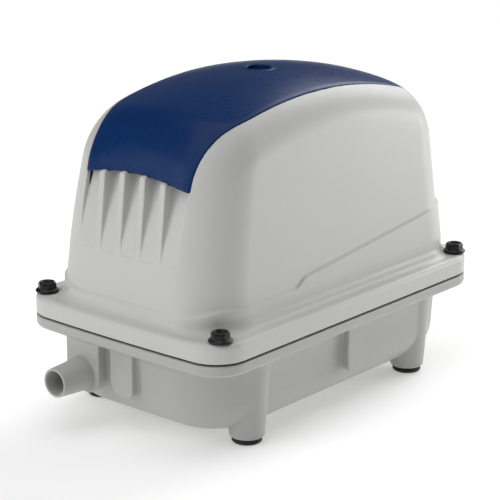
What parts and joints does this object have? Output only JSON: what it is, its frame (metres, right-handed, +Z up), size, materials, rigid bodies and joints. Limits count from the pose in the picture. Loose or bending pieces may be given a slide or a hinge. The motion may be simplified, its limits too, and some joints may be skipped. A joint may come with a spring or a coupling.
{
  "type": "air pump",
  "caption": "Linear diaphragm air pump: vented housing with a lift-off filter cover over a vibrating motor, on an air tank with an outlet pipe, legs and rubber feet.",
  "frame": {"origin": "under the middle of the bounding box, on the plane the feet stand on", "axes": "+X along the length, away from the outlet end, +Y across, towards the side the outlet is nearer, +Z up"},
  "size_m": [0.2794, 0.159, 0.2013],
  "materials": {
    "housing_plastic": "off-white moulded ABS, satin",
    "cover_plastic": "navy blue moulded ABS, satin gloss",
    "filter_foam": "open-cell filter foam",
    "tank_plastic": "light grey moulded ABS, fine texture",
    "black_steel": "black coated steel",
    "black_rubber": "black moulded rubber",
    "diaphragm_rubber": "thin moulded rubber",
    "plate_alloy": "pressed aluminium sheet",
    "zinc_steel": "zinc plated steel",
    "core_steel": "stacked steel laminations, varnished",
    "bobbin_nylon": "natural nylon",
    "copper_wire": "enamelled copper wire",
    "rod_alloy": "machined aluminium",
    "magnet_ferrite": "sintered ferrite",
    "head_alloy": "die-cast aluminium",
    "black_plastic": "black moulded plastic"
  },
  "bodies": {
    "pump": {"upper_housing": "housing_plastic", "lower_tank": "tank_plastic", "outlet_spigot": "tank_plastic", "cover_bolt_1": "black_steel", "cover_bolt_2": "black_steel", "cover_bolt_3": "black_steel", "cover_bolt_4": "black_steel", "housing_gasket": "black_rubber", "rubber_foot_1": "black_rubber", "rubber_foot_2": "black_rubber", "rubber_foot_3": "black_rubber", "rubber_foot_4": "black_rubber", "rubber_damper_1": "black_rubber", "rubber_damper_2": "black_rubber", "rubber_damper_3": "black_rubber", "rubber_damper_4": "black_rubber", "cord_gland": "black_rubber", "delivery_tube_left": "black_rubber", "delivery_tube_right": "black_rubber", "diaphragm_left": "diaphragm_rubber", "diaphragm_right": "diaphragm_rubber", "tank_plate": "plate_alloy", "plate_screw_1": "zinc_steel", "plate_screw_2": "zinc_steel", "plate_screw_3": "zinc_steel", "plate_screw_4": "zinc_steel", "motor_bracket": "zinc_steel", "core_front": "core_steel", "core_rear": "core_steel", "coil_bobbin_front": "bobbin_nylon", "coil_bobbin_rear": "bobbin_nylon", "coil_winding_front": "copper_wire", "coil_winding_rear": "copper_wire", "diaphragm_ring_left": "rod_alloy", "diaphragm_ring_right": "rod_alloy", "pump_head_left": "head_alloy", "pump_head_right": "head_alloy", "head_cover_left": "black_plastic", "head_cover_right": "black_plastic", "safety_switch": "black_plastic", "terminal_block": "black_plastic"},
    "vibrator": {"vibrator_rod": "rod_alloy", "magnet_left": "magnet_ferrite", "magnet_right": "magnet_ferrite", "inner_disc_left": "zinc_steel", "inner_disc_right": "zinc_steel", "outer_disc_left": "zinc_steel", "outer_disc_right": "zinc_steel", "lock_nut_left": "zinc_steel", "lock_nut_right": "zinc_steel"},
    "filter_cover": {"filter_cover": "cover_plastic"},
    "filter_cover_screw": {"filter_cover_screw": "zinc_steel"},
    "filter_element": {"filter_element": "filter_foam"},
    "safety_lever": {"safety_lever": "bobbin_nylon"},
    "intake_flap_left": {"intake_flap_left": "diaphragm_rubber"},
    "intake_flap_right": {"intake_flap_right": "diaphragm_rubber"},
    "exhaust_flap_left": {"exhaust_flap_left": "diaphragm_rubber"},
    "exhaust_flap_right": {"exhaust_flap_right": "diaphragm_rubber"}
  },
  "joints": [
    {"name": "vibrator_slide", "type": "slide", "parent": "pump", "child": "vibrator", "axis": [1, 0, 0], "range_m": [-0.0025, 0.0025], "stiffness_N_per_m": 2000, "deforming": ["diaphragm_left", "diaphragm_right"]},
    {"name": "filter_cover_lift", "type": "slide", "parent": "pump", "child": "filter_cover", "axis": [0, 0, 1], "range_m": [0, 0.08]},
    {"name": "filter_cover_screw_lift", "type": "slide", "parent": "filter_cover", "child": "filter_cover_screw", "axis": [0, 0, 1], "range_m": [0, 0.02]},
    {"name": "filter_element_lift", "type": "slide", "parent": "pump", "child": "filter_element", "axis": [0, 0, 1], "range_m": [0, 0.04]},
    {"name": "intake_flap_left_swing", "type": "hinge", "parent": "pump", "child": "intake_flap_left", "pos_m": [-0.0644, 0, 0.1323], "axis": [0, -1, 0], "range_deg": [0, 12], "stiffness_Nm_per_rad": 0.0005},
    {"name": "exhaust_flap_left_swing", "type": "hinge", "parent": "pump", "child": "exhaust_flap_left", "pos_m": [-0.0692, 0, 0.1023], "axis": [0, 1, 0], "range_deg": [0, 12], "stiffness_Nm_per_rad": 0.0005},
    {"name": "intake_flap_right_swing", "type": "hinge", "parent": "pump", "child": "intake_flap_right", "pos_m": [0.0778, 0, 0.1323], "axis": [0, 1, 0], "range_deg": [0, 12], "stiffness_Nm_per_rad": 0.0005},
    {"name": "exhaust_flap_right_swing", "type": "hinge", "parent": "pump", "child": "exhaust_flap_right", "pos_m": [0.0826, 0, 0.1023], "axis": [0, -1, 0], "range_deg": [0, 12], "stiffness_Nm_per_rad": 0.0005},
    {"name": "safety_lever_trip", "type": "hinge", "parent": "pump", "child": "safety_lever", "pos_m": [-0.0043, 0, 0.0848], "axis": [0, 1, 0], "range_deg": [0, 4.5], "stiffness_Nm_per_rad": 0.005}
  ],
  "couplings": [
    {"joint": "filter_element_lift", "follows": "filter_cover_lift", "ratio": 0.5}
  ]
}
